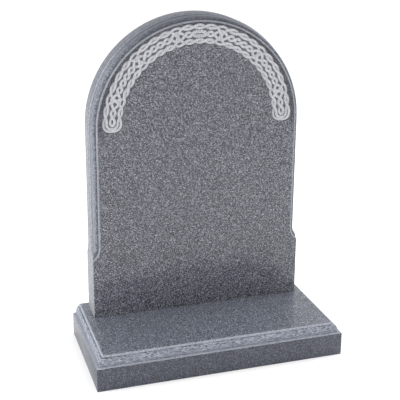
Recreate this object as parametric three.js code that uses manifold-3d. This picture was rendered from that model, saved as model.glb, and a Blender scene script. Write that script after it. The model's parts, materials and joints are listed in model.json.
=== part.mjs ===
// A lawn headstone: an arched granite tablet with a moulded edge and a band of carved
// knotwork, standing on a moulded granite base.
// Millimetres, +Z up, the front faces -Y, origin under the middle of the base.

import * as THREE from 'three';
import { mergeVertices } from 'three/addons/utils/BufferGeometryUtils.js';
import Module from 'manifold-3d';

const wasm = await Module();
wasm.setup();

// Base
const baseWidth = 610;
const baseDepth = 300;
const baseHeight = 80;
const baseMoulding = { inset: 20, depth: 23, ledge: 8, bead: 4, quirk: 1, fullness: 2.1 };

// Tablet
const tabletWidth = 534;
const tabletHeight = 738;
const tabletThickness = 74;
const backMargin = 18;
const shoulderHeight = 148;
const sideSetIn = 3;
const sideSplay = 24;
const stopRadius = 40;
const tabletMoulding = { inset: 16.4, depth: 36, ledge: 3.5, bead: 4, quirk: 1, fullness: 3.2 };
const archSegments = 36;
const ovoloSegments = 5;
const stopSegments = 5;

// Knotwork band: angles run round the arch from the crown, in degrees, and the rest is
// measured across the band from its middle
const bandMargin = 10.4;
const bandRise = 6.8;
const repeatAngle = 29;
const repeatsEachSide = 3;
const strandWidth = 6.4;
const crownWidth = 4.2;
const twistCentre = 17.2;
const twistSwing = 4;
const plaitSwing = 5.2;
const plaitBulge = 10.2;
const endStretch = 1.118;

// How strands turn back at the feet of the band: reach in degrees, 2 is an ellipse
const outerTurn = { reach: 5.3, squareness: 2.6, steps: 8 };
const innerTurn = { reach: 3.7, squareness: 2.4, steps: 6 };
const plaitTurn = { reach: 2.6, squareness: 2, steps: 4 };

// Depths of the carving below the face
const carvingDepth = 4;
const strandTop = 0.3;
const weaveDrop = 1.8;
const carvingMargin = 1.2;

// Points of each kind of strand in one repeat
const twistSteps = 12;
const plaitSteps = 18;
const lobeSteps = 16;

// Share of a piece of strand within which a crossing at its end counts as on the next piece
const meetTolerance = 1e-6;

// Clearance that a cutting solid stands proud of the stone it cuts
const overrun = 4;

// Places that follow from the sizes
const archRadius = tabletWidth / 2 - sideSetIn;
const footZ = baseHeight;
const springZ = footZ + tabletHeight - archRadius;
const backY = baseDepth / 2 - backMargin;
const faceY = backY - tabletThickness;
const faceRadius = archRadius - tabletMoulding.inset;
const bandRadius = faceRadius - bandMargin - twistCentre - twistSwing - strandWidth / 2;
const bandCentreZ = springZ + bandRise;
const bandEnd = repeatAngle * repeatsEachSide;
const plaitPitch = repeatAngle / 6;

// Materials
const polished = { color: 0x73757f, roughness: 0.35, metalness: 0 };
const tabletStone = new THREE.MeshStandardMaterial(polished);
const baseStone = new THREE.MeshStandardMaterial({ ...polished, color: 0x7b7d87 });

// Solids

function toSolid(geometry) {
  geometry.deleteAttribute('normal');
  geometry.deleteAttribute('uv');
  const merged = mergeVertices(geometry, 1e-4);
  const vertProperties = new Float32Array(merged.attributes.position.array);
  const triVerts = new Uint32Array(merged.index.array);
  return new wasm.Manifold(new wasm.Mesh({ numProp: 3, vertProperties, triVerts }));
}

function toGeometry(solid) {
  const mesh = solid.getMesh();
  const geometry = new THREE.BufferGeometry();
  geometry.setAttribute('position', new THREE.BufferAttribute(mesh.vertProperties, 3));
  geometry.setIndex(new THREE.BufferAttribute(mesh.triVerts, 1));
  geometry.computeVertexNormals();
  return geometry;
}

// Turns a shape drawn in the plane of the tablet's face (x across, y up) into a solid that
// runs back from frontY to rearY.
function facePlate(shape, frontY, rearY, curveSegments) {
  const plate = new THREE.ExtrudeGeometry(shape, {
    depth: rearY - frontY,
    bevelEnabled: false,
    curveSegments,
  });
  plate.rotateX(Math.PI / 2);
  plate.translate(0, rearY, 0);
  return plate;
}

// Sweeps a section along a path of (x, z) points in the tablet's face. sectionAt(i) gives
// [sideways, depth] points: sideways to the left of travel, depth back from the face.
function sweep(path, sectionAt) {
  const last = path.length - 1;
  const positions = [];
  path.forEach((point, i) => {
    const before = path[Math.max(i - 1, 0)];
    const after = path[Math.min(i + 1, last)];
    const arriving = point.clone().sub(before).normalize();
    const leaving = after.clone().sub(point).normalize();
    const travel = arriving.clone().add(leaving).normalize();
    const mitre = 1 / Math.max(travel.dot(arriving), travel.dot(leaving));
    for (const [sideways, depth] of sectionAt(i)) {
      const reach = sideways * mitre;
      positions.push(point.x - travel.y * reach, faceY + depth, point.y + travel.x * reach);
    }
  });
  const size = sectionAt(0).length;
  const index = [];
  for (let i = 0; i < last; i += 1) {
    const near = i * size;
    const far = near + size;
    for (let j = 0; j < size; j += 1) {
      const next = (j + 1) % size;
      index.push(near + next, near + j, far + j);
      index.push(far + next, near + next, far + j);
    }
  }
  const outline = sectionAt(0).map(([sideways, depth]) => new THREE.Vector2(sideways, depth));
  for (const [a, b, c] of THREE.ShapeUtils.triangulateShape(outline, [])) {
    index.push(a, b, c);
    index.push(last * size + c, last * size + b, last * size + a);
  }
  const geometry = new THREE.BufferGeometry();
  geometry.setAttribute('position', new THREE.Float32BufferAttribute(positions, 3));
  geometry.setIndex(index);
  return geometry;
}

// Mouldings

// The moulding's section from its ledge to the flat it frames, as [in from the outer face,
// down from the flat]: a small ledge, a full ovolo, a quirk and a bead.
function mouldingSection({ inset, depth, ledge, bead, quirk, fullness }) {
  const points = [[0, depth]];
  const across = inset - bead - quirk - ledge;
  const down = depth - bead - 2 * quirk;
  for (let i = 0; i <= ovoloSegments; i += 1) {
    const turn = (i / ovoloSegments) * (Math.PI / 2);
    const inward = 1 - Math.cos(turn) ** (2 / fullness);
    const rise = Math.sin(turn) ** (2 / fullness);
    points.push([ledge + across * inward, depth - quirk - down * rise]);
  }
  points.push([inset - bead, bead + 2 * quirk]);
  points.push([inset - bead, bead]);
  points.push([inset, 0]);
  return points;
}

// The base: its moulding runs along the front and both ends, and the back is sawn square.
function baseGeometry() {
  const halfWidth = baseWidth / 2;
  const halfDepth = baseDepth / 2;
  const levels = mouldingSection(baseMoulding).map(([inward, down]) => [inward, baseHeight - down]);
  const positions = [];
  for (const [inward, z] of [[0, 0], ...levels]) {
    positions.push(-halfWidth + inward, halfDepth, z, -halfWidth + inward, -halfDepth + inward, z);
    positions.push(halfWidth - inward, -halfDepth + inward, z, halfWidth - inward, halfDepth, z);
  }
  const index = [2, 1, 0, 3, 2, 0];
  for (let level = 0; level < levels.length; level += 1) {
    for (let corner = 0; corner < 4; corner += 1) {
      const next = (corner + 1) % 4;
      const low = level * 4;
      const high = low + 4;
      index.push(low + corner, low + next, high + corner);
      index.push(low + next, high + next, high + corner);
    }
  }
  const top = levels.length * 4;
  index.push(top, top + 1, top + 2, top, top + 2, top + 3);
  const geometry = new THREE.BufferGeometry();
  geometry.setAttribute('position', new THREE.Float32BufferAttribute(positions, 3));
  geometry.setIndex(index);
  geometry.computeVertexNormals();
  return geometry;
}

// Tablet

// The sawn outline: full width up to the shoulders, set in above them, with a round arch.
function tabletBlank() {
  const half = tabletWidth / 2;
  const shoulderZ = footZ + shoulderHeight;
  const shape = new THREE.Shape();
  shape.moveTo(-half, footZ);
  shape.lineTo(half, footZ);
  shape.lineTo(half, shoulderZ);
  shape.lineTo(archRadius, shoulderZ + sideSplay);
  shape.absarc(0, springZ, archRadius, 0, Math.PI, false);
  shape.lineTo(-archRadius, shoulderZ + sideSplay);
  shape.lineTo(-half, shoulderZ);
  return facePlate(shape, faceY, backY, archSegments);
}

// The line where the moulding meets the face: out of the left side at the shoulder, up,
// over the arch and down to the right shoulder. At each shoulder it swings out on an arc.
function faceEdgePath() {
  const stopAngle = Math.acos(1 - (tabletWidth / 2 - faceRadius) / stopRadius);
  const stopZ = footZ + shoulderHeight + stopRadius * Math.sin(stopAngle);
  const rightSide = [];
  for (let i = stopSegments; i >= 0; i -= 1) {
    const angle = stopAngle * (i / stopSegments);
    rightSide.push(new THREE.Vector2(
      faceRadius + stopRadius * (1 - Math.cos(angle)),
      stopZ - stopRadius * Math.sin(angle),
    ));
  }
  const wayOut = new THREE.Vector2(Math.sin(stopAngle), -Math.cos(stopAngle));
  rightSide.unshift(rightSide[0].clone().addScaledVector(wayOut, overrun * 2));
  const arch = [];
  for (let i = 0; i <= archSegments; i += 1) {
    const angle = Math.PI * (1 - i / archSegments);
    arch.push(new THREE.Vector2(faceRadius * Math.cos(angle), springZ + faceRadius * Math.sin(angle)));
  }
  const leftSide = rightSide.map(({ x, y }) => new THREE.Vector2(-x, y));
  return [...leftSide, ...arch, ...rightSide.reverse()];
}

// The waste taken off the tablet's front edge, outside its moulding.
function edgeWaste() {
  const { inset, depth } = tabletMoulding;
  const profile = mouldingSection(tabletMoulding).map(([inward, down]) => [inset - inward, down]);
  const outline = [[inset + overrun, -overrun], [inset + overrun, depth], ...profile, [0, -overrun]];
  return sweep(faceEdgePath(), () => outline);
}

// Knotwork

// A point of the band: along it in degrees from the crown, across it outwards from its middle.
function bandPoint([along, across]) {
  const angle = THREE.MathUtils.degToRad(along);
  const radius = bandRadius + across;
  return new THREE.Vector2(radius * Math.sin(angle), bandCentreZ + radius * Math.cos(angle));
}

// Where an angle lies in its repeat: the repeat's number and the distance from its middle.
function inRepeat(along) {
  const last = repeatsEachSide - 1;
  const number = Math.min(Math.floor(Math.abs(along) / repeatAngle), last);
  return { number, local: Math.abs(along) - (number + 0.5) * repeatAngle };
}

function twistWave(along) {
  return twistSwing * Math.cos((4 * Math.PI * inRepeat(along).local) / repeatAngle);
}

// The strand that stays in the outer twist.
function edgeStrand(along) {
  return twistCentre + twistWave(along);
}

// The strand that leaves one twist in the middle of each repeat and crosses to the other.
function crossingStrand(along) {
  const { number, local } = inRepeat(along);
  const side = number % 2 === 0 ? -1 : 1;
  const share = local / (repeatAngle / 8);
  if (Math.abs(share) >= 1) {
    return side * Math.sign(share) * (twistCentre - twistWave(along));
  }
  const cubic = (twistSwing * (Math.PI / 2) - twistCentre) / 2;
  return side * ((twistCentre - cubic) * share + cubic * share ** 3);
}

// The middle plait: eyes along the band, and a wide bulge round each crossing.
function plaitStrand(along) {
  const { number, local } = inRepeat(along);
  const side = number % 2 === 0 ? 1 : -1;
  const outermost = number === repeatsEachSide - 1 && local > 0;
  const away = Math.abs(local) / (outermost ? endStretch : 1);
  if (away < plaitPitch) {
    return side * plaitBulge * Math.cos((away / plaitPitch) * (Math.PI / 2));
  }
  return -side * plaitSwing * Math.sin((away / plaitPitch - 1) * Math.PI);
}

function sample(strand, from, to, steps) {
  return Array.from({ length: steps + 1 }, (_, i) => {
    const along = from + ((to - from) * i) / steps;
    return [along, strand(along)];
  });
}

// The round turn that joins two strands at a foot of the band, without its two ends.
function endTurn(along, across, { reach, squareness, steps }) {
  return Array.from({ length: steps - 1 }, (_, i) => {
    const angle = Math.PI / 2 - (Math.PI * (i + 1)) / steps;
    const swing = Math.sign(Math.sin(angle)) * Math.abs(Math.sin(angle)) ** (2 / squareness);
    const out = Math.abs(Math.cos(angle)) ** (2 / squareness);
    return [along + Math.sign(along) * reach * out, across * swing];
  });
}

// A closed strand from its run over the arch, the run below it and the turns at both feet.
function closedStrand(run, turn) {
  const [endAlong, endAcross] = run[run.length - 1];
  const back = run.map(([along, across]) => [along, -across]).reverse();
  const rightTurn = endTurn(endAlong, endAcross, turn);
  const leftTurn = endTurn(-endAlong, -endAcross, turn);
  return [...run, ...rightTurn, ...back, ...leftTurn];
}

// Points of a small knot at the crown, right half, as [share of the crown, across]
const crownPlait = [
  [0, 7.5], [0.1, 6.7], [0.25, 3.6], [0.35, 2.7], [0.45, 3.6], [0.6, 5.8], [0.7, 5.4], [0.85, 3],
];
const crownRing = [[0, 2.7], [0.1, 3.6], [0.25, 6.7], [0.35, 7.5], [0.45, 6.5], [0.6, 3.1], [0.65, 0]];

function mirrored(half) {
  const right = half.map(([share, across]) => [share * plaitPitch, across]);
  const left = right.slice(1).reverse().map(([along, across]) => [-along, across]);
  return [...left, ...right];
}

// The plait narrows where it passes through the small knot at the crown.
function plaitWidth([along]) {
  const share = THREE.MathUtils.smoothstep(Math.abs(along), plaitPitch / 2, plaitPitch);
  return crownWidth + (strandWidth - crownWidth) * share;
}

// Every closed strand of the band, with its width at each point.
function strandRuns() {
  const steps = 2 * repeatsEachSide * twistSteps;
  const edge = closedStrand(sample(edgeStrand, -bandEnd, bandEnd, steps), outerTurn);
  const crossing = closedStrand(sample(crossingStrand, -bandEnd, bandEnd, steps), innerTurn);

  // The plait turns back at the middle of its last eye
  const lastEye = bandEnd - repeatAngle / 2 + endStretch * plaitPitch * 2.5;
  const sideSteps = Math.round(((lastEye - plaitPitch) * plaitSteps) / repeatAngle);
  const rightSide = sample(plaitStrand, plaitPitch, lastEye, sideSteps);
  const leftSide = rightSide.map(([along, across]) => [-along, across]).reverse();
  const plait = closedStrand([...leftSide, ...mirrored(crownPlait), ...rightSide], plaitTurn);

  const ringTop = mirrored(crownRing);
  const ringFoot = ringTop.slice(1, -1).reverse().map(([along, across]) => [along, -across]);
  return [
    { points: edge, widthAt: () => strandWidth },
    { points: crossing, widthAt: () => strandWidth },
    { points: plait, widthAt: plaitWidth },
    { points: [...ringTop, ...ringFoot], widthAt: () => crownWidth },
  ];
}

// Where two straight pieces of strand cross, as shares along each, or null.
function meet([p, q], [r, s]) {
  const first = [q[0] - p[0], q[1] - p[1]];
  const second = [s[0] - r[0], s[1] - r[1]];
  const cross = first[0] * second[1] - first[1] * second[0];
  const gap = [r[0] - p[0], r[1] - p[1]];
  const onFirst = (gap[0] * second[1] - gap[1] * second[0]) / cross;
  const onSecond = (gap[0] * first[1] - gap[1] * first[0]) / cross;
  const shares = [onFirst, onSecond];
  const inside = shares.every((share) => share >= -meetTolerance && share < 1 - meetTolerance);
  return inside ? { onFirst, onSecond, rise: first[1] * second[0] - second[1] * first[0] } : null;
}

// Every crossing, with the strand that goes over: the steeper or the flatter one by turns,
// counted by the strands nearer the middle of the arch, so each strand goes over and under.
function weave(runs) {
  const pieces = runs.flatMap(({ points }, strand) => points.map((point, i) => ({
    strand,
    i,
    ends: [point, points[(i + 1) % points.length]],
  })));
  const marks = runs.map(() => []);
  pieces.forEach((a, order) => pieces.slice(order + 1).forEach((b) => {
    const adjoining = a.ends[0] === b.ends[1] || a.ends[1] === b.ends[0];
    const found = adjoining ? null : meet(a.ends, b.ends);
    if (!found) return;
    const [start, stop] = a.ends;
    const along = start[0] + (stop[0] - start[0]) * found.onFirst;
    const across = start[1] + (stop[1] - start[1]) * found.onFirst;
    const below = pieces.filter((piece) => {
      const [from, to] = piece.ends;
      const spans = (from[0] <= along) !== (to[0] <= along);
      const height = from[1] + ((to[1] - from[1]) * (along - from[0])) / (to[0] - from[0]);
      return piece !== a && piece !== b && spans && height < across - meetTolerance;
    }).length;
    const sameWay = (stop[0] - start[0]) * (b.ends[1][0] - b.ends[0][0]) > 0;
    const firstRises = (found.rise > 0) === sameWay;
    const firstOver = firstRises === (below % 2 === 0);
    marks[a.strand].push([a.i + found.onFirst, firstOver ? 1 : -1]);
    marks[b.strand].push([b.i + found.onSecond, firstOver ? -1 : 1]);
  }));
  return marks.map((list) => list.sort(([p], [q]) => p - q));
}

// The strand's height at a point: easing from each crossing to the next.
function heightAt(i, list, count) {
  const after = list.findIndex(([place]) => place > i);
  const next = after === -1 ? [list[0][0] + count, list[0][1]] : list[after];
  const beforeIndex = (after === -1 ? list.length : after) - 1;
  const previous = beforeIndex < 0
    ? [list[list.length - 1][0] - count, list[list.length - 1][1]]
    : list[beforeIndex];
  const share = (i - previous[0]) / (next[0] - previous[0]);
  const ease = (1 - Math.cos(share * Math.PI)) / 2;
  return previous[1] + (next[1] - previous[1]) * ease;
}

// A strand is a flat ribbon that stands on the floor of the carved band, its top rising and
// sinking through the weave. It is made in two lengths that share a piece at each foot, so
// that neither crosses itself.
function strandSolid({ points, widthAt }, marks) {
  const count = points.length;
  const path = points.map(bandPoint);
  const section = (i) => {
    const top = strandTop + (weaveDrop * (1 - heightAt(i, marks, count))) / 2;
    const root = carvingDepth + carvingMargin;
    const half = widthAt(points[i]) / 2;
    return [[-half, root], [-half, top], [half, top], [half, root]];
  };
  const middle = Math.floor(count / 2);
  const lengths = [[0, middle + 1], [middle, count + 1]].map(([from, to]) => {
    const places = Array.from({ length: to - from + 1 }, (_, i) => (from + i) % count);
    return toSolid(sweep(places.map((i) => path[i]), (i) => section(places[i])));
  });
  return lengths[0].add(lengths[1]);
}

// The sunk field of the band, with a lobed edge that follows the outer strands.
function bandField() {
  const edge = strandWidth / 2 + carvingMargin;
  const lobes = (along) => twistCentre + Math.abs(twistWave(along)) + edge;
  const run = sample(lobes, -bandEnd, bandEnd, 2 * repeatsEachSide * lobeSteps);
  const reach = outerTurn.reach + THREE.MathUtils.radToDeg(edge / bandRadius);
  const outline = closedStrand(run, { ...outerTurn, reach }).map(bandPoint);
  return facePlate(new THREE.Shape(outline), faceY - overrun, faceY + carvingDepth, 1);
}

function tabletGeometry() {
  const runs = strandRuns();
  const marks = weave(runs);
  let stone = toSolid(tabletBlank()).subtract(toSolid(edgeWaste()));
  stone = stone.subtract(toSolid(bandField()));
  runs.forEach((run, i) => {
    stone = stone.add(strandSolid(run, marks[i]));
  });
  return toGeometry(stone);
}

const headstone = new THREE.Mesh(tabletGeometry(), tabletStone);
headstone.name = 'headstone';
const base = new THREE.Mesh(baseGeometry(), baseStone);
base.name = 'base';

const memorial = new THREE.Group();
memorial.add(base, headstone);

export default memorial;
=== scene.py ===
# %% [markdown]
# # An arched granite headstone with a carved band
#
# The stone is two pieces: an arched tablet with a moulded front edge and a band of knotwork,
# and a moulded base that it stands on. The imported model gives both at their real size, with
# few faces. This lesson makes the surfaces that a mason finishes: smooth mouldings, softened
# arrises, rounded straps that pass over and under each other, polished faces and matt carving.

# %% Load the frame
import json
import math

import bpy
from mathutils import Euler, Matrix, Vector

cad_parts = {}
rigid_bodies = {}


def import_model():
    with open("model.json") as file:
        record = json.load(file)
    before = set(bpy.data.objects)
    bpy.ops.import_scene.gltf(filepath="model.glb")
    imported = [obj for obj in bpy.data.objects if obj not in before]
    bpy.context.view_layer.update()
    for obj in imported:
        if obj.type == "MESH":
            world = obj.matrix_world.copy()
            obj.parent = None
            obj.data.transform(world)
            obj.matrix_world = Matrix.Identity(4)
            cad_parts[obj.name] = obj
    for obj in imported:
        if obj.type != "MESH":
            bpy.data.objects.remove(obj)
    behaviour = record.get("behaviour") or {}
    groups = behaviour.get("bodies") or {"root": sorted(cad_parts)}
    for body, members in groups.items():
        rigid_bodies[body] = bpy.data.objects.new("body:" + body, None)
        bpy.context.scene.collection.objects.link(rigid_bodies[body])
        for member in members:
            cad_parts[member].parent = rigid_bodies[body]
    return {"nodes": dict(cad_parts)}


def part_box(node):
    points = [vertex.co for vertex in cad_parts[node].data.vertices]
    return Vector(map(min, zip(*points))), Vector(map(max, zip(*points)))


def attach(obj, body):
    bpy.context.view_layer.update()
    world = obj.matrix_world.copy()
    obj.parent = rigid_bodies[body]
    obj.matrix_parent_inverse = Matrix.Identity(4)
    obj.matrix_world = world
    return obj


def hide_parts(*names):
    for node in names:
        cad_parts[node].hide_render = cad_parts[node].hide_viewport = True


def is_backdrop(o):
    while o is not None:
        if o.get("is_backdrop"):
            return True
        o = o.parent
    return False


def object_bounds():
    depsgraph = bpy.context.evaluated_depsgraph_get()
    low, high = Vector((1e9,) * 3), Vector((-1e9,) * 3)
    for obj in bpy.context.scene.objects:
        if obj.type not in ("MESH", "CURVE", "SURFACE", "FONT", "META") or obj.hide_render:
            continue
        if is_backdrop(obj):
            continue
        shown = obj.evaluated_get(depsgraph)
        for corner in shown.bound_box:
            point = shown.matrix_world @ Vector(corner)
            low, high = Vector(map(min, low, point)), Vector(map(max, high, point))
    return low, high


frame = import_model()
cad_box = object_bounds()
print("nodes in the frame:", sorted(frame["nodes"]))

# %% [markdown]
# ## Sizes
#
# The frame gives the boxes of the two pieces. What a box can't tell, such as the depth of a
# moulding, is named here in millimetres and turned to metres once.

# %% Sizes read from the frame
MM = 0.001

tablet_low, tablet_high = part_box("headstone")
base_low, base_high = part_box("base")

tablet_half = tablet_high.x
face_y, back_y = tablet_low.y, tablet_high.y
foot_z, crown_z = tablet_low.z, tablet_high.z
print(f"tablet {2000 * tablet_half:.0f} x {1000 * (crown_z - foot_z):.0f} mm,"
      f" {1000 * (back_y - face_y):.0f} mm thick")

# %% Sizes of the edges
ARRIS = 0.7 * MM
OVERRUN = 4 * MM

BASE_MOULDING = {
    "inset": 20 * MM, "depth": 23 * MM, "ledge": 8 * MM,
    "bead": 4 * MM, "quirk": 1 * MM, "fullness": 2.1,
}
TABLET_MOULDING = {
    "inset": 16.4 * MM, "depth": 36 * MM, "ledge": 3.5 * MM,
    "bead": 4 * MM, "quirk": 1 * MM, "fullness": 3.2,
}
SHOULDER_HEIGHT = 148 * MM
SIDE_SET_IN = 3 * MM
SIDE_SPLAY = 24 * MM
STOP_RADIUS = 40 * MM

arch_radius = tablet_half - SIDE_SET_IN
spring_z = crown_z - arch_radius
face_radius = arch_radius - TABLET_MOULDING["inset"]
shoulder_z = foot_z + SHOULDER_HEIGHT
print(f"arch radius {arch_radius / MM:.0f} mm, sprung {spring_z / MM:.0f} mm above the ground")

# %% [markdown]
# ## Working by hand in code
#
# Each operator acts on what is selected, and the frame's own nodes arrive selected. So every
# step starts by choosing one piece, and inside edit mode faces and edges are chosen by where
# they are.

# %% Choose what to work on
# How close counts as the same place, as level, and as looking one way
TOUCHING = 0.02 * MM
LEVEL_WITHIN = 0.001
LOOKS_THAT_WAY = 0.9


def choose(*pieces):
    """Selects these pieces and nothing else, and makes the first one active."""
    bpy.ops.object.select_all(action="DESELECT")
    for piece in pieces:
        piece.select_set(True)
    bpy.context.view_layer.objects.active = pieces[0]


def choose_parts(piece, parts, wanted):
    """In edit mode, selects the vertices, edges or faces for which wanted(part) is true."""
    kinds = {"vertices": "VERT", "edges": "EDGE", "polygons": "FACE"}
    bpy.ops.mesh.select_mode(type=kinds[parts])
    bpy.ops.mesh.select_all(action="DESELECT")
    bpy.ops.object.mode_set(mode="OBJECT")
    chosen = 0
    for part in getattr(piece.data, parts):
        if wanted(part):
            part.select = True
            chosen += 1
    bpy.ops.object.mode_set(mode="EDIT")
    return chosen


def place(piece, part):
    """The middle of an edge or face, in metres."""
    corners = [piece.data.vertices[i].co for i in part.vertices]
    return sum(corners, Vector()) / len(corners)


def near(a, b, tolerance=TOUCHING):
    return abs(a - b) < tolerance


def is_level(face):
    return near(face.normal.z, 1, LEVEL_WITHIN)


def looks_back_or_down(face):
    return face.normal.y > LOOKS_THAT_WAY or face.normal.z < -LOOKS_THAT_WAY

# %% [markdown]
# ## The moulding's section
#
# A mason's edge moulding is a run of plain shapes: a narrow ledge at the outer face, a full
# quarter round called an ovolo, a fine groove called a quirk, and a small bead that rises to
# the polished flat. A bevel would give one round and no quirk or bead. Both pieces have the
# same run at different sizes, so one function draws it, as distances in from the outer face
# and down from the flat.

# %% Draw the section
OVOLO_STEPS = 16
BEAD_STEPS = 6
ARRIS_STEPS = 3


def quarter(steps):
    return [(i / steps) * (math.pi / 2) for i in range(steps + 1)]


def moulding_section(inset, depth, ledge, bead, quirk, fullness):
    """The section from the outer face up to the flat, as (inward, down)."""
    points = []
    for turn in quarter(ARRIS_STEPS):
        points.append((ARRIS * (1 - math.cos(turn)), depth + ARRIS * (1 - math.sin(turn))))
    across = inset - bead - quirk - ledge
    drop = depth - bead - 2 * quirk
    points.append((ledge, depth))
    for turn in quarter(OVOLO_STEPS):
        inward = ledge + across * (1 - math.cos(turn) ** (2 / fullness))
        points.append((inward, depth - quirk - drop * math.sin(turn) ** (2 / fullness)))
    points.append((inset - bead - quirk / 2, bead + 2 * quirk))
    points.append((inset - bead, bead + 2 * quirk))
    for turn in quarter(BEAD_STEPS):
        points.append((inset - bead * math.cos(turn), bead * (1 - math.sin(turn))))
    return points


print("points in a moulding's section:", len(moulding_section(**TABLET_MOULDING)))

# %% [markdown]
# ## Stone
#
# One function turns a colour as a painter would write it into the linear values that the
# shader wants, and one adds a node with its settings and links.

# %% Colours and nodes
def colour(hex_code):
    """An sRGB colour such as 8a8c94, as linear red, green, blue and 1."""
    parts = [int(hex_code[i:i + 2], 16) / 255 for i in (0, 2, 4)]
    linear = [c / 12.92 if c <= 0.04045 else ((c + 0.055) / 1.055) ** 2.4 for c in parts]
    return (*linear, 1)


def add_node(material, kind, settings=None, numbered=None, **named):
    """Adds a node, sets its properties, and fills or links its inputs by number or name."""
    tree = material.node_tree
    node = tree.nodes.new(kind)
    for name, value in (settings or {}).items():
        setattr(node, name, value)
    inputs = [(node.inputs[number], value) for number, value in (numbered or {}).items()]
    inputs += [(node.inputs[name.replace("_", " ")], value) for name, value in named.items()]
    for socket, value in inputs:
        if isinstance(value, bpy.types.NodeSocket):
            tree.links.new(value, socket)
        else:
            socket.default_value = value
    return node


def new_material(name):
    material = bpy.data.materials.new(name)
    material.use_nodes = True
    material.node_tree.nodes.clear()
    return material

# %% [markdown]
# ### Grain
#
# This granite is fine grained and blue grey: pale feldspar, grey quartz and small black flecks
# of mica, each about a millimetre across. Noise alone would look like clouds, because crystals
# have edges. So the grains are cells whose outlines wander, coloured from dark to light by
# chance, and the flecks are laid over them.

# %% Grains and flecks
GRAIN = 1.25 * MM
FLECK = 1.3 * MM
FLECK_SHARE = 0.12


def speckle(material, where, grains, fleck):
    """The stone's colour, from grains as (share, colour), and a chance for each grain."""
    wander = add_node(material, "ShaderNodeTexNoise", Vector=where, Scale=1 / (2 * GRAIN), Detail=2.0)
    shifted = add_node(material, "ShaderNodeVectorMath", {"operation": "MULTIPLY_ADD"},
                       {0: wander.outputs["Color"], 1: (GRAIN, GRAIN, GRAIN), 2: where})
    cells = add_node(material, "ShaderNodeTexVoronoi", Vector=shifted.outputs[0], Scale=1 / GRAIN)
    chance = add_node(material, "ShaderNodeSeparateColor", Color=cells.outputs["Color"])
    ramp = add_node(material, "ShaderNodeValToRGB", Fac=chance.outputs["Red"])
    stops = ramp.color_ramp.elements
    while len(stops) < len(grains):
        stops.new(0.5)
    for element, (share, hex_code) in zip(list(stops), grains):
        element.position = share
        element.color = colour(hex_code)
    small = add_node(material, "ShaderNodeTexVoronoi", Vector=where, Scale=1 / FLECK)
    spots = add_node(material, "ShaderNodeSeparateColor", Color=small.outputs["Color"])
    is_fleck = add_node(material, "ShaderNodeMath", {"operation": "LESS_THAN"},
                        {0: spots.outputs["Green"], 1: FLECK_SHARE})
    stone = add_node(material, "ShaderNodeMix", {"data_type": "RGBA"},
                     {0: is_fleck.outputs[0], 6: ramp.outputs["Color"], 7: colour(fleck)})
    return stone.outputs[2], chance.outputs["Blue"]

# %% [markdown]
# ### Where painted shade darkens the stone
#
# Some darker tones here are painted shade, not the stone's own. The strip of polish between the
# moulding and the carving is darkened as painted shade, and the edge of the arch is darkened
# towards its crown as painted shade. Each of these places is told by a distance: from the arch's
# centre, or up from its spring. It could be painted by hand, but a distance stays right when a
# size changes.

# %% Places told by distance
def from_centre(low, high):
    """Rises between two distances from the arch's centre."""
    return (0, 0, spring_z), (1, 0, 1), low, high


def above_spring(low, high):
    """Rises between two heights above the spring, as distances from a metre below it."""
    return (0, 0, spring_z - 1), (0, 0, 1), 1 + low, 1 + high


def share_of(material, where, places):
    """A share that is 1 where all of these distances are past their high mark."""
    share = 1.0
    for centre, axes, low, high in places:
        shift = tuple(-c * axis for c, axis in zip(centre, axes))
        offset = add_node(material, "ShaderNodeVectorMath", {"operation": "MULTIPLY_ADD"},
                          {0: where, 1: axes, 2: shift})
        distance = add_node(material, "ShaderNodeVectorMath", {"operation": "LENGTH"},
                            {0: offset.outputs[0]})
        rise = add_node(material, "ShaderNodeMapRange", {"interpolation_type": "SMOOTHSTEP"},
                        {0: distance.outputs["Value"], 1: low, 2: high})
        share = add_node(material, "ShaderNodeMath", {"operation": "MULTIPLY"},
                         {0: share, 1: rise.outputs[0]}).outputs[0]
    return share


# Places where painted shade darkens the stone: beside the carving, round the arch and over the crown
PAINTED_SHADE_NEAR_CARVING = [from_centre(face_radius - 12 * MM, face_radius - 8 * MM),
                      above_spring(-30 * MM, 10 * MM)]
PAINTED_SHADE_ON_ARCH = [above_spring(-30 * MM, 120 * MM)]
PAINTED_SHADE_AT_CROWN = [above_spring(130 * MM, 255 * MM)]

# %% [markdown]
# ### One function for every finish
#
# A finish is a set of grain colours, a roughness, and what the tool left: a tooth, or grain
# that is drawn out along its run. Each grain takes a slightly different polish, as minerals do.

# %% Mix a granite
TOOTH_SCALE = 1.2 * MM
SHINE_RANGE = 0.06
ALONG_ARCH = (0.5, 1, 0.5)
ALONG_BASE = (0.25, 0.25, 1)


def granite(name, grains, fleck, shine, tooth=0.0, drawn=None, painted_shade=None, places=()):
    """Granite with its shine and what a tool left: a tooth, or grain that is drawn out."""
    material = new_material(name)
    where = add_node(material, "ShaderNodeTexCoord").outputs["Object"]
    grain_at = where
    if drawn:
        grain_at = add_node(material, "ShaderNodeVectorMath", {"operation": "MULTIPLY"},
                            {0: where, 1: drawn}).outputs[0]
    stone, chance = speckle(material, grain_at, grains, fleck)
    # In these places the stone's colour is darkened as painted shade
    if places:
        share = share_of(material, where, places)
        stone = add_node(material, "ShaderNodeMix", {"data_type": "RGBA", "blend_type": "MULTIPLY"},
                         {0: share, 6: stone, 7: colour(painted_shade)}).outputs[2]
    gloss = add_node(material, "ShaderNodeMapRange",
                     numbered={0: chance, 3: shine - SHINE_RANGE, 4: shine + SHINE_RANGE})
    shader = add_node(material, "ShaderNodeBsdfPrincipled", Base_Color=stone,
                      Roughness=gloss.outputs[0], IOR=1.54)
    if tooth:
        pits = add_node(material, "ShaderNodeTexNoise", Vector=where, Scale=1 / TOOTH_SCALE,
                        Detail=3.0)
        bump = add_node(material, "ShaderNodeBump", Height=pits.outputs["Fac"], Distance=tooth)
        material.node_tree.links.new(bump.outputs["Normal"], shader.inputs["Normal"])
    add_node(material, "ShaderNodeOutputMaterial", Surface=shader.outputs["BSDF"])
    return material
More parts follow.
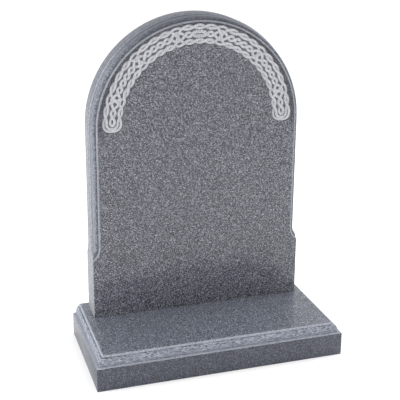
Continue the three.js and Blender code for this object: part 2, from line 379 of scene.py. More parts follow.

# %% [markdown]
# ### Polished faces
#
# The front of the tablet, and the front, ends and top of the base, are polished. Each is made
# apart, because light reaches them differently: painted shade on the base's front, painted
# reflection on its top. Their grain reads differently too.

# %% Polished stone
# Ground flat, then polished. The grains look wet and deep, and the sheen is soft and even.
# Beside the carving its grains are darkened as painted shade.
polished = granite(
    "granite_polished",
    [(0.0, "0d0f15"), (0.3, "2f3139"), (0.7, "575962"), (1.0, "aeb0b9")],
    fleck="07080b", shine=0.3, painted_shade="b4b4bb", places=PAINTED_SHADE_NEAR_CARVING,
)

# Polished in the same way, with darker grains as painted shade, for the little light that reaches the
# base's low front.
polished_front = granite(
    "granite_base_front_painted_shade",
    [(0.0, "0c0e16"), (0.3, "242733"), (0.7, "3f4350"), (1.0, "6e7280")],
    fleck="0b0c11", shine=0.3,
)

# Polished a little duller, with paler, bluer grains as painted reflection of the bright surround
# above it.
polished_top = granite(
    "granite_base_top_painted_reflection",
    [(0.0, "191c24"), (0.3, "3b4049"), (0.7, "60656f"), (1.0, "abb0bb")],
    fleck="111319", shine=0.35,
)

# %% [markdown]
# ### Mouldings and edges
#
# A profiled wheel runs the mouldings and a rubbing block finishes them. They aren't polished,
# so they are greyer and softer than the faces.

# %% Honed and rubbed stone
# Run with a wheel and honed along its length: satin and mid grey, its grain drawn into streaks.
# Over the crown its grains are darkened as painted shade.
honed = granite(
    "granite_honed_moulding",
    [(0.0, "3c3f48"), (0.3, "51555e"), (0.7, "656a74"), (1.0, "848993")],
    fleck="32353c", shine=0.45, drawn=ALONG_ARCH, painted_shade="c0c1c6", places=PAINTED_SHADE_AT_CROWN,
)

# The base's moulding, rubbed along by hand with a coarser block: paler and more streaked.
honed_base = granite(
    "granite_rubbed_base_moulding",
    [(0.0, "5a5f69"), (0.3, "6c717c"), (0.7, "7f8490"), (1.0, "9da2ad")],
    fleck="484b53", shine=0.55, drawn=ALONG_BASE,
)

# The back and the undersides, rubbed once after the saw: matt, pale and faintly rough.
sawn = granite(
    "granite_sawn_back",
    [(0.0, "505258"), (0.5, "74767c"), (1.0, "999ba1")],
    fleck="43454a", shine=0.65, tooth=0.08 * MM,
)

# The narrow sides and the arch's outer face, rubbed finer: matt, with painted shade that darkens them
# round the arch.
rubbed = granite(
    "granite_rubbed_edge",
    [(0.0, "505258"), (0.5, "74767c"), (1.0, "999ba1")],
    fleck="43454a", shine=0.6, tooth=0.05 * MM, drawn=ALONG_ARCH, painted_shade="cfd1d8",
    places=PAINTED_SHADE_ON_ARCH,
)

# The ledge under the moulding, eased with a stone: pale grains paint its highlight as a bright line,
# darkened as painted shade over the crown.
ledge = granite(
    "granite_ledge_painted_highlight",
    [(0.0, "a4a8b0"), (0.5, "bcc0c7"), (1.0, "d4d8de")],
    fleck="868a91", shine=0.5, painted_shade="c8cad0", places=PAINTED_SHADE_AT_CROWN,
)

# The bead at the top of the moulding, eased more finely: pale grains paint its highlight as a thin
# line beside the polish.
arris = granite(
    "granite_bead_painted_highlight",
    [(0.0, "6a6d74"), (0.5, "7a7d85"), (1.0, "8d9097")],
    fleck="575a61", shine=0.5,
)

# The base's ledge and bead: pale grains, uneven from grain to grain, paint the highlights on these
# edges.
arris_base = granite(
    "granite_base_edges_painted_highlight",
    [(0.0, "747882"), (0.5, "8b8e98"), (1.0, "a7abb3")],
    fleck="5c5f67", shine=0.6,
)

# %% [markdown]
# ### Carving
#
# Where the stone is carved, its grain is broken. It scatters light and looks pale and matt,
# with no gloss to hide its rounding.

# %% Carved stone
# Cut with a fine point and rubbed round: nearly white, and the tooth keeps it from shining.
carved = granite(
    "granite_carved_and_rubbed",
    [(0.0, "9b9ca1"), (0.5, "abacb1"), (1.0, "bebfc3")],
    fleck="85868b", shine=0.75, tooth=0.1 * MM,
)

# The ground between the straps, left rough from the point: darker grains as painted shade in the
# narrow cuts, so the straps stand out.
sunk = granite(
    "granite_ground_painted_shade",
    [(0.0, "54565c"), (0.5, "65676d"), (1.0, "78797f")],
    fleck="44464b", shine=0.8, tooth=0.15 * MM,
)

print("finishes:", [made.name for made in bpy.data.materials if "granite_" in made.name])

# %% [markdown]
# ### Dressing a piece
#
# A piece wears one stone to begin with, and then some of its faces are given another.

# %% Dress a piece in its stone
def wear(piece, material):
    """The whole piece in one material."""
    piece.data.materials.clear()
    piece.data.materials.append(material)


def dress(piece, material, wanted):
    """These faces of a piece in a material of their own."""
    piece.data.materials.append(material)
    choose(piece)
    bpy.ops.object.mode_set(mode="EDIT")
    chosen = choose_parts(piece, "polygons", wanted)
    piece.active_material_index = len(piece.data.materials) - 1
    bpy.ops.object.material_slot_assign()
    bpy.ops.object.mode_set(mode="OBJECT")
    return chosen

# %% [markdown]
# ## The base
#
# The base is a sawn block with a moulding run round its front and both ends. It starts as a
# block up to the foot of the moulding. Then the top face is extruded once for each point of
# the section and scaled in. A section swept round the edge would do too, but would need its
# corners mitred. Scaling about the middle of the back edge keeps the back flat and gives a
# true mitre at each front corner.

# %% Build the base
def block(name, low, high):
    """A box between two corners, from a cube that is placed and sized."""
    bpy.ops.mesh.primitive_cube_add(size=1, location=(low + high) / 2)
    piece = bpy.context.object
    piece.name = piece.data.name = name
    piece.scale = high - low
    bpy.ops.object.transform_apply(location=True, rotation=False, scale=True)
    return piece


def build_base():
    section = moulding_section(**BASE_MOULDING)
    shoulder = Vector((base_high.x, base_high.y, base_high.z - section[0][1]))
    piece = block("base_moulded", base_low, shoulder)
    choose(piece)
    bpy.ops.object.mode_set(mode="EDIT")
    choose_parts(piece, "edges", lambda edge: not near(place(piece, edge).z, shoulder.z))
    bpy.ops.mesh.bevel(offset=ARRIS, offset_type="OFFSET", segments=2, affect="EDGES")
    choose_parts(piece, "polygons", lambda face: face.normal.z > LOOKS_THAT_WAY)
    half, run = base_high.x, base_high.y - base_low.y
    back = Vector((0, base_high.y, 0))
    for (inward, down), (next_inward, next_down) in zip(section, section[1:]):
        bpy.ops.mesh.extrude_region_move(TRANSFORM_OT_translate={"value": (0, 0, down - next_down)})
        narrower = (half - next_inward) / (half - inward)
        shorter = (run - next_inward) / (run - inward)
        bpy.ops.transform.resize(value=(narrower, shorter, 1), center_override=back)
    choose_parts(piece, "edges", lambda edge: near(place(piece, edge).z, base_high.z)
                 and near(place(piece, edge).y, base_high.y))
    bpy.ops.mesh.bevel(offset=ARRIS, offset_type="OFFSET", segments=2, affect="EDGES")
    bpy.ops.mesh.select_all(action="SELECT")
    bpy.ops.mesh.normals_make_consistent(inside=False)
    bpy.ops.object.mode_set(mode="OBJECT")
    return piece


base = build_base()
print("base faces:", len(base.data.polygons))

# %% [markdown]
# ### What each face of the base wears
#
# Its front, ends and top are polished, its moulding is rubbed, and its back and underside only
# have the saw's marks taken off. A face is told by where it lies and which way it looks.

# %% Finish the base's faces
ledge_z = base_high.z - BASE_MOULDING["depth"]
bead_z = base_high.z - BASE_MOULDING["bead"]


def on_moulding(face):
    return place(base, face).z > ledge_z - ARRIS and not is_level(face)


def on_arris(face):
    """The ledge at the foot of the moulding and the bead at its top."""
    middle = place(base, face)
    inside = base_high.x - abs(middle.x) > BASE_MOULDING["ledge"]
    on_bead = middle.z > bead_z and not is_level(face) and inside
    return on_bead or near(middle.z, ledge_z, tolerance=0.05 * MM)


wear(base, polished_front)
dress(base, polished_top, lambda face: near(place(base, face).z, base_high.z))
dress(base, honed_base, on_moulding)
# The ledge and bead take pale grains as painted highlight.
highlighted = dress(base, arris_base, on_arris)
hidden = dress(base, sawn, looks_back_or_down)
print("eased faces:", highlighted, "sawn faces:", hidden)

# %% [markdown]
# ## The tablet's blank
#
# The blank is cut to its outline first: full width at the foot, a small shoulder, and a round
# arch. A block and a cylinder could be joined for it, but one outline has no seam at the
# spring. A circle gives the arch, its lower half goes, and the two loose ends are drawn down
# to the foot. The outline is filled and pulled back to the stone's thickness.

# %% Cut the blank
ARCH_STEPS = 90


def build_blank():
    middle = (0, face_y, spring_z)
    bpy.ops.mesh.primitive_circle_add(
        vertices=4 * ARCH_STEPS, radius=arch_radius, location=middle, rotation=(math.pi / 2, 0, 0),
    )
    piece = bpy.context.object
    piece.name = piece.data.name = "headstone_carved"
    bpy.ops.object.transform_apply(location=True, rotation=True, scale=True)
    bpy.ops.object.mode_set(mode="EDIT")
    choose_parts(piece, "vertices", lambda point: point.co.z < spring_z - TOUCHING)
    bpy.ops.mesh.delete(type="VERT")

    # The two ends of the arch go down to the splay, out over the shoulder and to the foot
    choose_parts(piece, "vertices", lambda point: near(point.co.z, spring_z))
    straight = spring_z - shoulder_z - SIDE_SPLAY
    bpy.ops.mesh.extrude_region_move(TRANSFORM_OT_translate={"value": (0, 0, -straight)})
    bpy.ops.mesh.extrude_region_move(TRANSFORM_OT_translate={"value": (0, 0, -SIDE_SPLAY)})
    wider = tablet_half / arch_radius
    bpy.ops.transform.resize(value=(wider, 1, 1), center_override=middle)
    bpy.ops.mesh.extrude_region_move(TRANSFORM_OT_translate={"value": (0, 0, -SHOULDER_HEIGHT)})

    bpy.ops.mesh.select_all(action="SELECT")
    bpy.ops.mesh.edge_face_add()
    bpy.ops.mesh.extrude_region_move(TRANSFORM_OT_translate={"value": (0, back_y - face_y, 0)})
    bpy.ops.mesh.select_all(action="SELECT")
    bpy.ops.mesh.normals_make_consistent(inside=False)
    choose_parts(piece, "edges", lambda edge: near(place(piece, edge).y, face_y)
                 or near(place(piece, edge).y, back_y))
    bpy.ops.mesh.bevel(offset=ARRIS, offset_type="OFFSET", segments=2, affect="EDGES")
    bpy.ops.object.mode_set(mode="OBJECT")
    return piece


tablet = build_blank()
wear(tablet, polished)
sides = dress(tablet, rubbed, lambda face: face.normal.y > -LOOKS_THAT_WAY)
hidden = dress(tablet, sawn, looks_back_or_down)
print("blank faces:", len(tablet.data.polygons), "on the sides:", sides - hidden)

# %% [markdown]
# ## Lines and cuts
#
# A mason takes stone away, so the moulding and the sunk field are made as their waste: the
# solid that the tool removes. Each starts as a drawn line, and a boolean cuts it off. The cut
# faces take the waste's material, so every cut arrives with its finish on.

# %% Draw lines and cut solids
def draw_line(name, points, closed=False):
    """A mesh line, drawn corner by corner by extruding one vertex."""
    bpy.ops.object.select_all(action="DESELECT")
    bpy.ops.mesh.primitive_plane_add(size=1)
    line = bpy.context.object
    line.name = line.data.name = name
    bpy.ops.object.mode_set(mode="EDIT")
    bpy.ops.mesh.select_mode(type="VERT")
    bpy.ops.mesh.merge(type="CENTER")
    bpy.ops.transform.translate(value=points[0])
    for here, there in zip(points, points[1:]):
        bpy.ops.mesh.extrude_region_move(TRANSFORM_OT_translate={"value": there - here})
    if closed:
        ends = (0, len(points) - 1)
        choose_parts(line, "vertices", lambda point: point.index in ends)
        bpy.ops.mesh.edge_face_add()
    bpy.ops.object.mode_set(mode="OBJECT")
    return line


def settle(piece, kind, **settings):
    """Adds a modifier with these settings and applies it."""
    choose(piece)
    bpy.ops.object.modifier_add(type=kind)
    change = piece.modifiers[-1]
    for name, value in settings.items():
        setattr(change, name, value)
    bpy.ops.object.modifier_apply(modifier=change.name)
    if piece.modifiers:
        raise RuntimeError(f"{kind} couldn't be applied to {piece.name}")


def cut(piece, waste):
    """Takes the waste off a piece, and leaves the waste's material on the cut faces."""
    settle(piece, "BOOLEAN", operation="DIFFERENCE", solver="MANIFOLD", object=waste,
           material_mode="TRANSFER")
    bpy.data.objects.remove(waste)

# %% [markdown]
# ## Running the moulding round the arch
#
# On the real stone a profiled wheel runs up one side, round the arch and down the other, and
# swings out of the side at each shoulder. The waste that it takes off is one solid here: the
# section is drawn at the crown, spun a quarter turn round the arch, pulled down the side,
# spun the other way at the shoulder, and pulled out past the edge. A mirror gives the other
# half. A section swept along a curve would twist where the curve turns, and a spin doesn't.

# %% Take the moulding's waste off the blank
STOP_STEPS = 20


def build_edge_waste():
    section = moulding_section(**TABLET_MOULDING)
    inset = TABLET_MOULDING["inset"]
    outline = [(-OVERRUN, section[0][1]), *section, (inset, -OVERRUN), (-OVERRUN, -OVERRUN)]
    points = [Vector((0, face_y + down, crown_z - inward)) for inward, down in outline]
    waste = draw_line("edge_waste", points, closed=True)

    # Half of the arch, then the straight side
    bpy.ops.object.mode_set(mode="EDIT")
    bpy.ops.mesh.select_all(action="SELECT")
    spin_axis = (0, 1, 0)
    bpy.ops.mesh.spin(steps=ARCH_STEPS, angle=-math.pi / 2, center=(0, 0, spring_z), axis=spin_axis)
    bend = math.acos(1 - (tablet_half - face_radius) / STOP_RADIUS)
    bend_z = shoulder_z + STOP_RADIUS * math.sin(bend)
    bpy.ops.mesh.extrude_region_move(TRANSFORM_OT_translate={"value": (0, 0, bend_z - spring_z)})

    # The stop: a turn outwards, and on past the side
    stop_centre = (face_radius + STOP_RADIUS, 0, bend_z)
    bpy.ops.mesh.spin(steps=STOP_STEPS, angle=bend, center=stop_centre, axis=spin_axis)
    outwards = Vector((math.sin(bend), 0, -math.cos(bend))) * 2 * OVERRUN
    bpy.ops.mesh.extrude_region_move(TRANSFORM_OT_translate={"value": outwards})
    bpy.ops.mesh.edge_face_add()
    bpy.ops.object.mode_set(mode="OBJECT")

    settle(waste, "MIRROR", use_axis=(True, False, False), use_mirror_merge=True)
    bpy.ops.object.mode_set(mode="EDIT")
    bpy.ops.mesh.select_all(action="SELECT")
    bpy.ops.mesh.normals_make_consistent(inside=False)
    bpy.ops.object.mode_set(mode="OBJECT")
    return waste


edge_waste = build_edge_waste()
wear(edge_waste, honed)
bead_y = face_y + TABLET_MOULDING["bead"] + TOUCHING
ledge_y = face_y + TABLET_MOULDING["depth"]
dress(edge_waste, arris, lambda face: face_y < place(edge_waste, face).y < bead_y)
dress(edge_waste, ledge, lambda face: near(place(edge_waste, face).y, ledge_y))
cut(tablet, edge_waste)
print("tablet faces with its moulding:", len(tablet.data.polygons))

# %% [markdown]
# ## The run of the knotwork
#
# The band is four closed straps: one that keeps to the outer and inner twists, one that
# crosses from twist to twist in the middle of each repeat, one that plaits down the middle,
# and a small ring at the crown. Drawn by hand they would drift, so each is a wave with a
# repeat. Along the band is measured in degrees from the crown, and across it in metres
# outwards from its middle.

# %% Sizes of the band
BAND_MARGIN = 10.4 * MM
BAND_RISE = 6.8 * MM
REPEAT_ANGLE = 29
REPEATS_EACH_SIDE = 3
STRAP_WIDTH = 6.4 * MM
CROWN_WIDTH = 4.2 * MM
TWIST_CENTRE = 17.2 * MM
TWIST_SWING = 4 * MM
PLAIT_SWING = 5.2 * MM
PLAIT_BULGE = 10.2 * MM
END_STRETCH = 1.118

# How straps turn back at the feet of the band: reach in degrees, 2 is an ellipse
OUTER_TURN = {"reach": 5.3, "squareness": 2.6, "steps": 12}
INNER_TURN = {"reach": 3.7, "squareness": 2.4, "steps": 10}
PLAIT_TURN = {"reach": 2.6, "squareness": 2, "steps": 8}

TWIST_STEPS = 24
PLAIT_STEPS = 30

band_radius = face_radius - BAND_MARGIN - TWIST_CENTRE - TWIST_SWING - STRAP_WIDTH / 2
band_centre_z = spring_z + BAND_RISE
band_end = REPEAT_ANGLE * REPEATS_EACH_SIDE
plait_pitch = REPEAT_ANGLE / 6
print(f"radius of the band's middle: {band_radius / MM:.1f} mm")


def band_point(along, across):
    """The point of the face at this angle and distance from the band's middle, as (x, z)."""
    radius = band_radius + across
    angle = math.radians(along)
    return Vector((radius * math.sin(angle), band_centre_z + radius * math.cos(angle)))


# %% The lines of the straps
def in_repeat(along):
    """The number of the repeat that an angle lies in, and its distance from the middle."""
    number = min(int(abs(along) // REPEAT_ANGLE), REPEATS_EACH_SIDE - 1)
    return number, abs(along) - (number + 0.5) * REPEAT_ANGLE


def twist_wave(along):
    return TWIST_SWING * math.cos(4 * math.pi * in_repeat(along)[1] / REPEAT_ANGLE)


def edge_strap(along):
    return TWIST_CENTRE + twist_wave(along)


def crossing_strap(along):
    """The strap that leaves one twist in the middle of each repeat and crosses to the other."""
    number, local = in_repeat(along)
    side = -1 if number % 2 == 0 else 1
    share = local / (REPEAT_ANGLE / 8)
    if abs(share) >= 1:
        return side * math.copysign(1, share) * (TWIST_CENTRE - twist_wave(along))
    cubic = (TWIST_SWING * (math.pi / 2) - TWIST_CENTRE) / 2
    return side * ((TWIST_CENTRE - cubic) * share + cubic * share ** 3)


def plait_strap(along):
    """Eyes along the middle of the band, and a wide bulge round each crossing strap."""
    number, local = in_repeat(along)
    side = 1 if number % 2 == 0 else -1
    outermost = number == REPEATS_EACH_SIDE - 1 and local > 0
    away = abs(local) / (END_STRETCH if outermost else 1)
    if away < plait_pitch:
        return side * PLAIT_BULGE * math.cos((away / plait_pitch) * (math.pi / 2))
    return -side * PLAIT_SWING * math.sin((away / plait_pitch - 1) * math.pi)


# %% [markdown]
# ### Turning back at the feet
#
# A strap of true knotwork has no end. At each foot of the band it turns round, a little
# squarer than a circle, and runs back as its own mirror image.

# %% Close each strap with a turn at both feet
def sample(line, start, stop, steps):
    angles = [start + (stop - start) * i / steps for i in range(steps + 1)]
    return [(along, line(along)) for along in angles]


def end_turn(along, across, reach, squareness, steps):
    """The round turn that joins two straps at a foot of the band, without its two ends."""
    points = []
    for i in range(1, steps):
        turn = math.pi / 2 - math.pi * i / steps
        swing = math.copysign(abs(math.sin(turn)) ** (2 / squareness), math.sin(turn))
        out = abs(math.cos(turn)) ** (2 / squareness)
        points.append((along + math.copysign(reach, along) * out, across * swing))
    return points


def close_strap(run, turn):
    """A closed strap from its run over the arch, the run below it and a turn at both feet."""
    along, across = run[-1]
    back = [(a, -b) for a, b in reversed(run)]
    return [*run, *end_turn(along, across, **turn), *back, *end_turn(-along, -across, **turn)]


# %% [markdown]
# ### The small knot at the crown
#
# The two halves of the plait meet at the crown through a ring. There's little room, so the
# straps are narrower there. The lines are given for the right half, and mirrored.

# %% Draw the knot at the crown
# As (share of a plait's pitch, across in millimetres)
CROWN_PLAIT = [(0, 7.5), (0.1, 6.7), (0.25, 3.6), (0.35, 2.7), (0.45, 3.6), (0.6, 5.8),
               (0.7, 5.4), (0.85, 3)]
CROWN_RING = [(0, 2.7), (0.1, 3.6), (0.25, 6.7), (0.35, 7.5), (0.45, 6.5), (0.6, 3.1), (0.65, 0)]


def mirrored(half):
    right = [(share * plait_pitch, across * MM) for share, across in half]
    return [(-along, across) for along, across in reversed(right[1:])] + right


def full_width(along):
    return STRAP_WIDTH


def crown_width(along):
    return CROWN_WIDTH


def plait_width(along):
    """The plait narrows where it passes through the small knot at the crown."""
    share = min(max(2 * abs(along) / plait_pitch - 1, 0), 1)
    return CROWN_WIDTH + (STRAP_WIDTH - CROWN_WIDTH) * share ** 2 * (3 - 2 * share)


# %% Lay out all the straps
def lay_out_straps():
    """Every closed strap of the band, as its points and a function for its width."""
    steps = 2 * REPEATS_EACH_SIDE * TWIST_STEPS
    edge = close_strap(sample(edge_strap, -band_end, band_end, steps), OUTER_TURN)
    crossing = close_strap(sample(crossing_strap, -band_end, band_end, steps), INNER_TURN)

    # The plait turns back at the middle of its last eye
    last_eye = band_end - REPEAT_ANGLE / 2 + END_STRETCH * plait_pitch * 2.5
    side_steps = round((last_eye - plait_pitch) * PLAIT_STEPS / REPEAT_ANGLE)
    right = sample(plait_strap, plait_pitch, last_eye, side_steps)
    left = [(-along, across) for along, across in reversed(right)]
    plait = close_strap([*left, *mirrored(CROWN_PLAIT), *right], PLAIT_TURN)

    ring_top = mirrored(CROWN_RING)
    ring = ring_top + [(along, -across) for along, across in reversed(ring_top[1:-1])]
    return [(edge, full_width), (crossing, full_width), (plait, plait_width), (ring, crown_width)]


straps = lay_out_straps()
print("points in each strap:", [len(points) for points, width_at in straps])

# %% [markdown]
# ## Over and under
#
# In true knotwork each strap goes over one crossing and under the next. Counting the straps
# that lie nearer to the middle of the arch settles it: with an even count the strap that rises
# to the right goes over, and with an odd one the other.

# %% Find the crossings
MEET_TOLERANCE = 1e-6


def meet(a, b):
    """Where two straight pieces cross: shares along each, and which one is steeper, or None."""
    (p, q), (r, s) = a, b
    first = (q[0] - p[0], q[1] - p[1])
    second = (s[0] - r[0], s[1] - r[1])
    cross = first[0] * second[1] - first[1] * second[0]
    if cross == 0:
        return None
    gap = (r[0] - p[0], r[1] - p[1])
    on_first = (gap[0] * second[1] - gap[1] * second[0]) / cross
    on_second = (gap[0] * first[1] - gap[1] * first[0]) / cross
    if not all(-MEET_TOLERANCE <= share < 1 - MEET_TOLERANCE for share in (on_first, on_second)):
        return None
    return on_first, on_second, first[1] * second[0] - second[1] * first[0]


def strap_pieces():
    """Every straight piece, as (strap, number, its two ends)."""
    found = []
    for strap, (points, width_at) in enumerate(straps):
        for i, point in enumerate(points):
            found.append((strap, i, (point, points[(i + 1) % len(points)])))
    return found


def straps_below(pieces, along, across, skip):
    """How many straps pass nearer to the middle of the arch at this place."""
    count = 0
    for piece in pieces:
        start, stop = piece[2]
        if (start[0] <= along) != (stop[0] <= along) and piece not in skip:
            height = start[1] + (stop[1] - start[1]) * (along - start[0]) / (stop[0] - start[0])
            count += height < across - MEET_TOLERANCE * MM
    return count


# %% Settle what goes over
def find_crossings():
    """For each strap, its crossings in order, as (place along the strap, goes over)."""
    pieces = strap_pieces()
    marks = [[] for strap in straps]
    spans = [(min(p[2][0][0], p[2][1][0]), max(p[2][0][0], p[2][1][0])) for p in pieces]
    for order, a in enumerate(pieces):
        for other in range(order + 1, len(pieces)):
            if spans[other][0] > spans[order][1] or spans[other][1] < spans[order][0]:
                continue
            b = pieces[other]
            if a[2][0] is b[2][1] or a[2][1] is b[2][0]:
                continue
            found = meet(a[2], b[2])
            if found is None:
                continue
            on_first, on_second, rise = found
            start, stop = a[2]
            along = start[0] + (stop[0] - start[0]) * on_first
            across = start[1] + (stop[1] - start[1]) * on_first
            below = straps_below(pieces, along, across, (a, b))
            same_way = (stop[0] - start[0]) * (b[2][1][0] - b[2][0][0]) > 0
            first_over = ((rise > 0) == same_way) == (below % 2 == 0)
            marks[a[0]].append((a[1] + on_first, first_over))
            marks[b[0]].append((b[1] + on_second, not first_over))
    return [sorted(places) for places in marks]


crossings = find_crossings()
for number, places in enumerate(crossings):
    turns = [over for place_on, over in places]
    steady = all(one != two for one, two in zip(turns, turns[1:] + turns[:1]))
    print(f"strap {number}: {len(places)} crossings, over and under by turns: {steady}")

# %% [markdown]
# ## Carving the straps
#
# A bump in the material would only pretend: the light has to catch real edges. A carver cuts
# each strap from where it dives to where it dives again. So each closed strap is made in
# short lengths, every one of which starts under a neighbour, arches over one crossing and
# ends under the next neighbour. A length is a curve with the strap's section swept along it.
# All the ends are hidden, and no length crosses itself.

# %% Depths and section of the straps
CARVING_DEPTH = 4 * MM
STRAP_TOP = 0.3 * MM
WEAVE_DROP = 1.8 * MM
STRAP_CROWN = 1.1 * MM
STRAP_ROOT = 6.5 * MM
STRAP_FULLNESS = 2.5
CROWN_STEPS = 8
TUCK = 0.3


def draw_strap_section():
    """The section: upright sides and a low rounded crown whose top is at zero."""
    half = STRAP_WIDTH / 2
    crown = []
    for i in range(CROWN_STEPS + 1):
        turn = math.pi * (1 - i / CROWN_STEPS)
        out = abs(math.cos(turn)) ** (2 / STRAP_FULLNESS)
        rise = math.sin(turn) ** (2 / STRAP_FULLNESS)
        x = math.copysign(out, math.cos(turn)) * half
        crown.append(Vector((x, STRAP_CROWN * (rise - 1), 0)))
    root = [Vector((half, -STRAP_ROOT, 0)), Vector((-half, -STRAP_ROOT, 0))]
    section = draw_line("strap_section", [*crown, *root], closed=True)
    choose(section)
    bpy.ops.object.convert(target="CURVE")
    return section


# %% Heights along a strap
def height_at(place_on, places, count):
    """The depth of the strap's top below the face, easing from each crossing to the next."""
    later = [mark for mark in places if mark[0] > place_on]
    earlier = [mark for mark in places if mark[0] <= place_on]
    after = later[0] if later else (places[0][0] + count, places[0][1])
    before = earlier[-1] if earlier else (places[-1][0] - count, places[-1][1])
    share = (place_on - before[0]) / (after[0] - before[0])
    ease = (1 - math.cos(share * math.pi)) / 2
    drop = (0 if before[1] else 1) * (1 - ease) + (0 if after[1] else 1) * ease
    return STRAP_TOP + WEAVE_DROP * drop


def point_on(points, place_on):
    """A point between two drawn ones, on the smooth line through the four nearest, as (x, z)."""
    count = len(points)
    whole = math.floor(place_on)
    share = place_on - whole
    a, b, c, d = (band_point(*points[(whole + i) % count]) for i in (-1, 0, 1, 2))
    return 0.5 * ((2 * b) + (c - a) * share + (2 * a - 5 * b + 4 * c - d) * share ** 2
                  + (3 * b - a - 3 * c + d) * share ** 3)


# %% Sweep every length of every strap
STRAP_STEP = 1.1 * MM
FEWEST_STEPS = 6
FINE_STEPS = 40


def sweep_length(points, width_at, places, start, stop, section, name):
    """One length of strap, as a curve with the section swept along it."""
    count = len(points)
    pieces = FINE_STEPS * round(stop - start + 1)
    fine = [start + (stop - start) * i / pieces for i in range(pieces + 1)]
    flat = [point_on(points, at) for at in fine]
    run = [0]
    for here, there in zip(flat, flat[1:]):
        run.append(run[-1] + (there - here).length)
    steps = max(FEWEST_STEPS, round(run[-1] / STRAP_STEP))
    bpy.ops.curve.primitive_nurbs_path_add()
    length = bpy.context.object
    length.name = length.data.name = name
    length.data.splines.clear()
    spline = length.data.splines.new("POLY")
    spline.points.add(steps)
    nearest = 0
    for i in range(steps + 1):
        while nearest < pieces and run[nearest] < run[-1] * i / steps:
            nearest += 1
        x, z = flat[nearest]
        depth = height_at(fine[nearest] % count, places, count)
        spline.points[i].co = (x, z, -depth, 1)
        spline.points[i].radius = width_at(points[int(fine[nearest]) % count][0]) / STRAP_WIDTH
    length.data.twist_mode = "Z_UP"
    length.data.bevel_mode = "OBJECT"
    length.data.bevel_object = section
    length.data.use_fill_caps = True
    return length


# %% Make all the lengths
def carve_straps():
    """All the lengths, in one collection of their own."""
    lengths = bpy.data.collections.new("strap_lengths")
    bpy.context.scene.collection.children.link(lengths)
    made = []
    section = draw_strap_section()
    for number, (points, width_at) in enumerate(straps):
        places = crossings[number]
        dives = [at for at, over in places if not over]
        for start, stop in zip(dives, dives[1:] + [dives[0] + len(points)]):
            name = f"strap_{number}_{len(made)}"
            ends = (start - TUCK, stop + TUCK)
            made.append(sweep_length(points, width_at, places, *ends, section, name))
        for length in made[-len(dives):]:
            choose(length)
            bpy.ops.object.convert(target="MESH")
            length.rotation_euler = (math.pi / 2, 0, 0)
            length.location = (0, face_y, 0)
            bpy.ops.object.transform_apply(location=True, rotation=True, scale=True)
            bpy.ops.object.mode_set(mode="EDIT")
            bpy.ops.mesh.select_all(action="SELECT")
            bpy.ops.mesh.remove_doubles(threshold=0.001 * MM)
            bpy.ops.mesh.normals_make_consistent(inside=False)
            bpy.ops.object.mode_set(mode="OBJECT")
    bpy.data.objects.remove(section)
    for length in made:
        for home in list(length.users_collection):
            home.objects.unlink(length)
        lengths.objects.link(length)
    return lengths


lengths = carve_straps()

# %% [markdown]
# ## The sunk field
#
# The ground between the straps is cut back to an even depth, inside an edge that follows the
# loops of the outer and inner twists. The waste is an outline drawn round the band, filled,
# and pulled back from the face.

# %% Sink the field and raise the straps in it
CARVING_MARGIN = 1.2 * MM
LOBE_STEPS = 24


def build_field_waste():
    edge = STRAP_WIDTH / 2 + CARVING_MARGIN

    def lobes(along):
        return TWIST_CENTRE + abs(twist_wave(along)) + edge

    run = sample(lobes, -band_end, band_end, 2 * REPEATS_EACH_SIDE * LOBE_STEPS)
    turn = {**OUTER_TURN, "reach": OUTER_TURN["reach"] + math.degrees(edge / band_radius)}
    flat = [band_point(*point) for point in close_strap(run, turn)]
    outline = [Vector((x, face_y - OVERRUN, z)) for x, z in flat]
    waste = draw_line("field_waste", outline, closed=True)
    bpy.ops.object.mode_set(mode="EDIT")
    bpy.ops.mesh.select_all(action="SELECT")
    bpy.ops.mesh.edge_face_add()
    inwards = (0, OVERRUN + CARVING_DEPTH, 0)
    bpy.ops.mesh.extrude_region_move(TRANSFORM_OT_translate={"value": inwards})
    bpy.ops.mesh.select_all(action="SELECT")
    bpy.ops.mesh.normals_make_consistent(inside=False)
    bpy.ops.object.mode_set(mode="OBJECT")
    return waste

# %% [markdown]
# ## Putting the tablet together
#
# The field is cut first, and then all the straps are joined to it in one go, so the tablet
# stays one closed solid. Faces that meet at less than 32 degrees are shaded as one surface,
# which keeps the arrises crisp and the mouldings smooth.

# %% Put the pieces together
SMOOTH_BELOW = math.radians(32)

field_waste = build_field_waste()
# The ground takes darker grains as painted shade in the cuts.
wear(field_waste, sunk)
cut(tablet, field_waste)
for length in lengths.objects:
    wear(length, carved)
settle(tablet, "BOOLEAN", operation="UNION", solver="MANIFOLD", operand_type="COLLECTION",
       collection=lengths, material_mode="TRANSFER")
for length in list(lengths.objects):
    bpy.data.objects.remove(length)
bpy.data.collections.remove(lengths)
for piece in (tablet, base):
    choose(piece)
    bpy.ops.object.shade_smooth_by_angle(angle=SMOOTH_BELOW)
    print(piece.name, "triangles:", sum(len(face.vertices) - 2 for face in piece.data.polygons))

# %% [markdown]
# ## Standing in for the nodes
#
# Each finished piece rides on the model's one body and stands for its node.

# %% Hand the pieces to the frame
for piece, node, slot in ((tablet, "headstone", "tablet_granite"), (base, "base", "base_granite")):
    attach(piece, "root")
    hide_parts(node)
    print(piece.name, "stands for", node)

# %% [markdown]
# ## Studio
#
# The stone stands on a plain pale floor in soft light: an even white surround, and a large
# soft window of light on each side that brightens the edges. The windows light the stone but
# aren't mirrored in it, so the polish shows the even surround from every side.

# %% Floor and light
FLOOR_SIZE = 60
WINDOW_SIZE = 2
WINDOW_AIM = Vector((0, 0, 0.4))


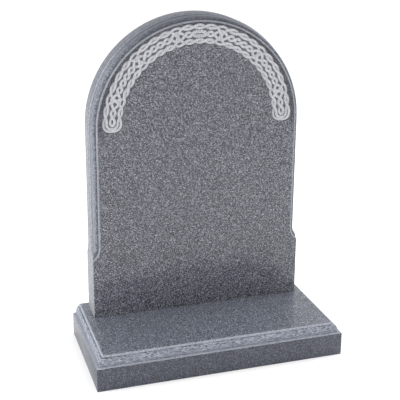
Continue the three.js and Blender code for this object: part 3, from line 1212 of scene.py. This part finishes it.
def build_floor():
    # Matt white paper: it takes a soft shadow and mirrors nothing
    bpy.ops.mesh.primitive_plane_add(size=FLOOR_SIZE, location=(0, 0, base_low.z))
    floor = bpy.context.object
    floor.name = "floor"
    paper = new_material("white_paper")
    shader = add_node(paper, "ShaderNodeBsdfPrincipled", Base_Color=colour("fafafa"), Roughness=0.9)
    add_node(paper, "ShaderNodeOutputMaterial", Surface=shader.outputs["BSDF"])
    wear(floor, paper)
    floor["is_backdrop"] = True


def add_window(name, place_at, power):
    bpy.ops.object.light_add(type="AREA", location=place_at)
    light = bpy.context.object
    light.name = name
    light.data.shape = "SQUARE"
    light.data.size = WINDOW_SIZE
    light.data.energy = power
    light.visible_glossy = False
    aim = WINDOW_AIM - Vector(place_at)
    light.rotation_euler = aim.to_track_quat("-Z", "Y").to_euler()


def light_surround(strength):
    world = bpy.data.worlds.new("white_surround")
    world.use_nodes = True
    background = world.node_tree.nodes["Background"]
    background.inputs["Color"].default_value = colour("ffffff")
    background.inputs["Strength"].default_value = strength
    bpy.context.scene.world = world


build_floor()
light_surround(strength=1.1)
add_window("left_window", place_at=(-3.0, -0.15, 1.0), power=88)
add_window("right_window", place_at=(3.0, 0.1, 1.0), power=104)

# %% [markdown]
# ## Camera
#
# The camera looks down on the stone from the front left, where the photograph was taken. Its
# place and turn were fitted to the corners of the base and the curve of the arch.

# %% Camera
CAMERA_PLACE = Vector((-657, -1977, 1120)) * MM
YAW, PITCH, ROLL = 17.96, 17.01, 0.5
FOCAL_PIXELS, FRAME_PIXELS = 920, 400
SENSOR_WIDTH = 36
LENS_SHIFT = -0.1
FARTHEST = 100

bpy.ops.object.camera_add(location=CAMERA_PLACE)
camera = bpy.context.object
camera.name = "camera"
level = Euler((math.radians(90 - PITCH), 0, math.radians(-YAW))).to_matrix()
camera.rotation_euler = (level @ Matrix.Rotation(math.radians(ROLL), 3, "Z")).to_euler()
camera.data.sensor_width = SENSOR_WIDTH
camera.data.lens = SENSOR_WIDTH * FOCAL_PIXELS / FRAME_PIXELS
camera.data.shift_y = LENS_SHIFT
camera.data.clip_end = FARTHEST
bpy.context.scene.camera = camera
bpy.context.scene.view_settings.view_transform = "Standard"
print(f"focal length: {camera.data.lens:.1f} mm")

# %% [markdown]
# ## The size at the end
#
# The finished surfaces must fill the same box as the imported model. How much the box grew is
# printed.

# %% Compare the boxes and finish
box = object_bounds()
growth = [[round((b - a) / MM, 2) for a, b in zip(*pair)] for pair in zip(cad_box, box)]
print("grown by, mm:", growth)
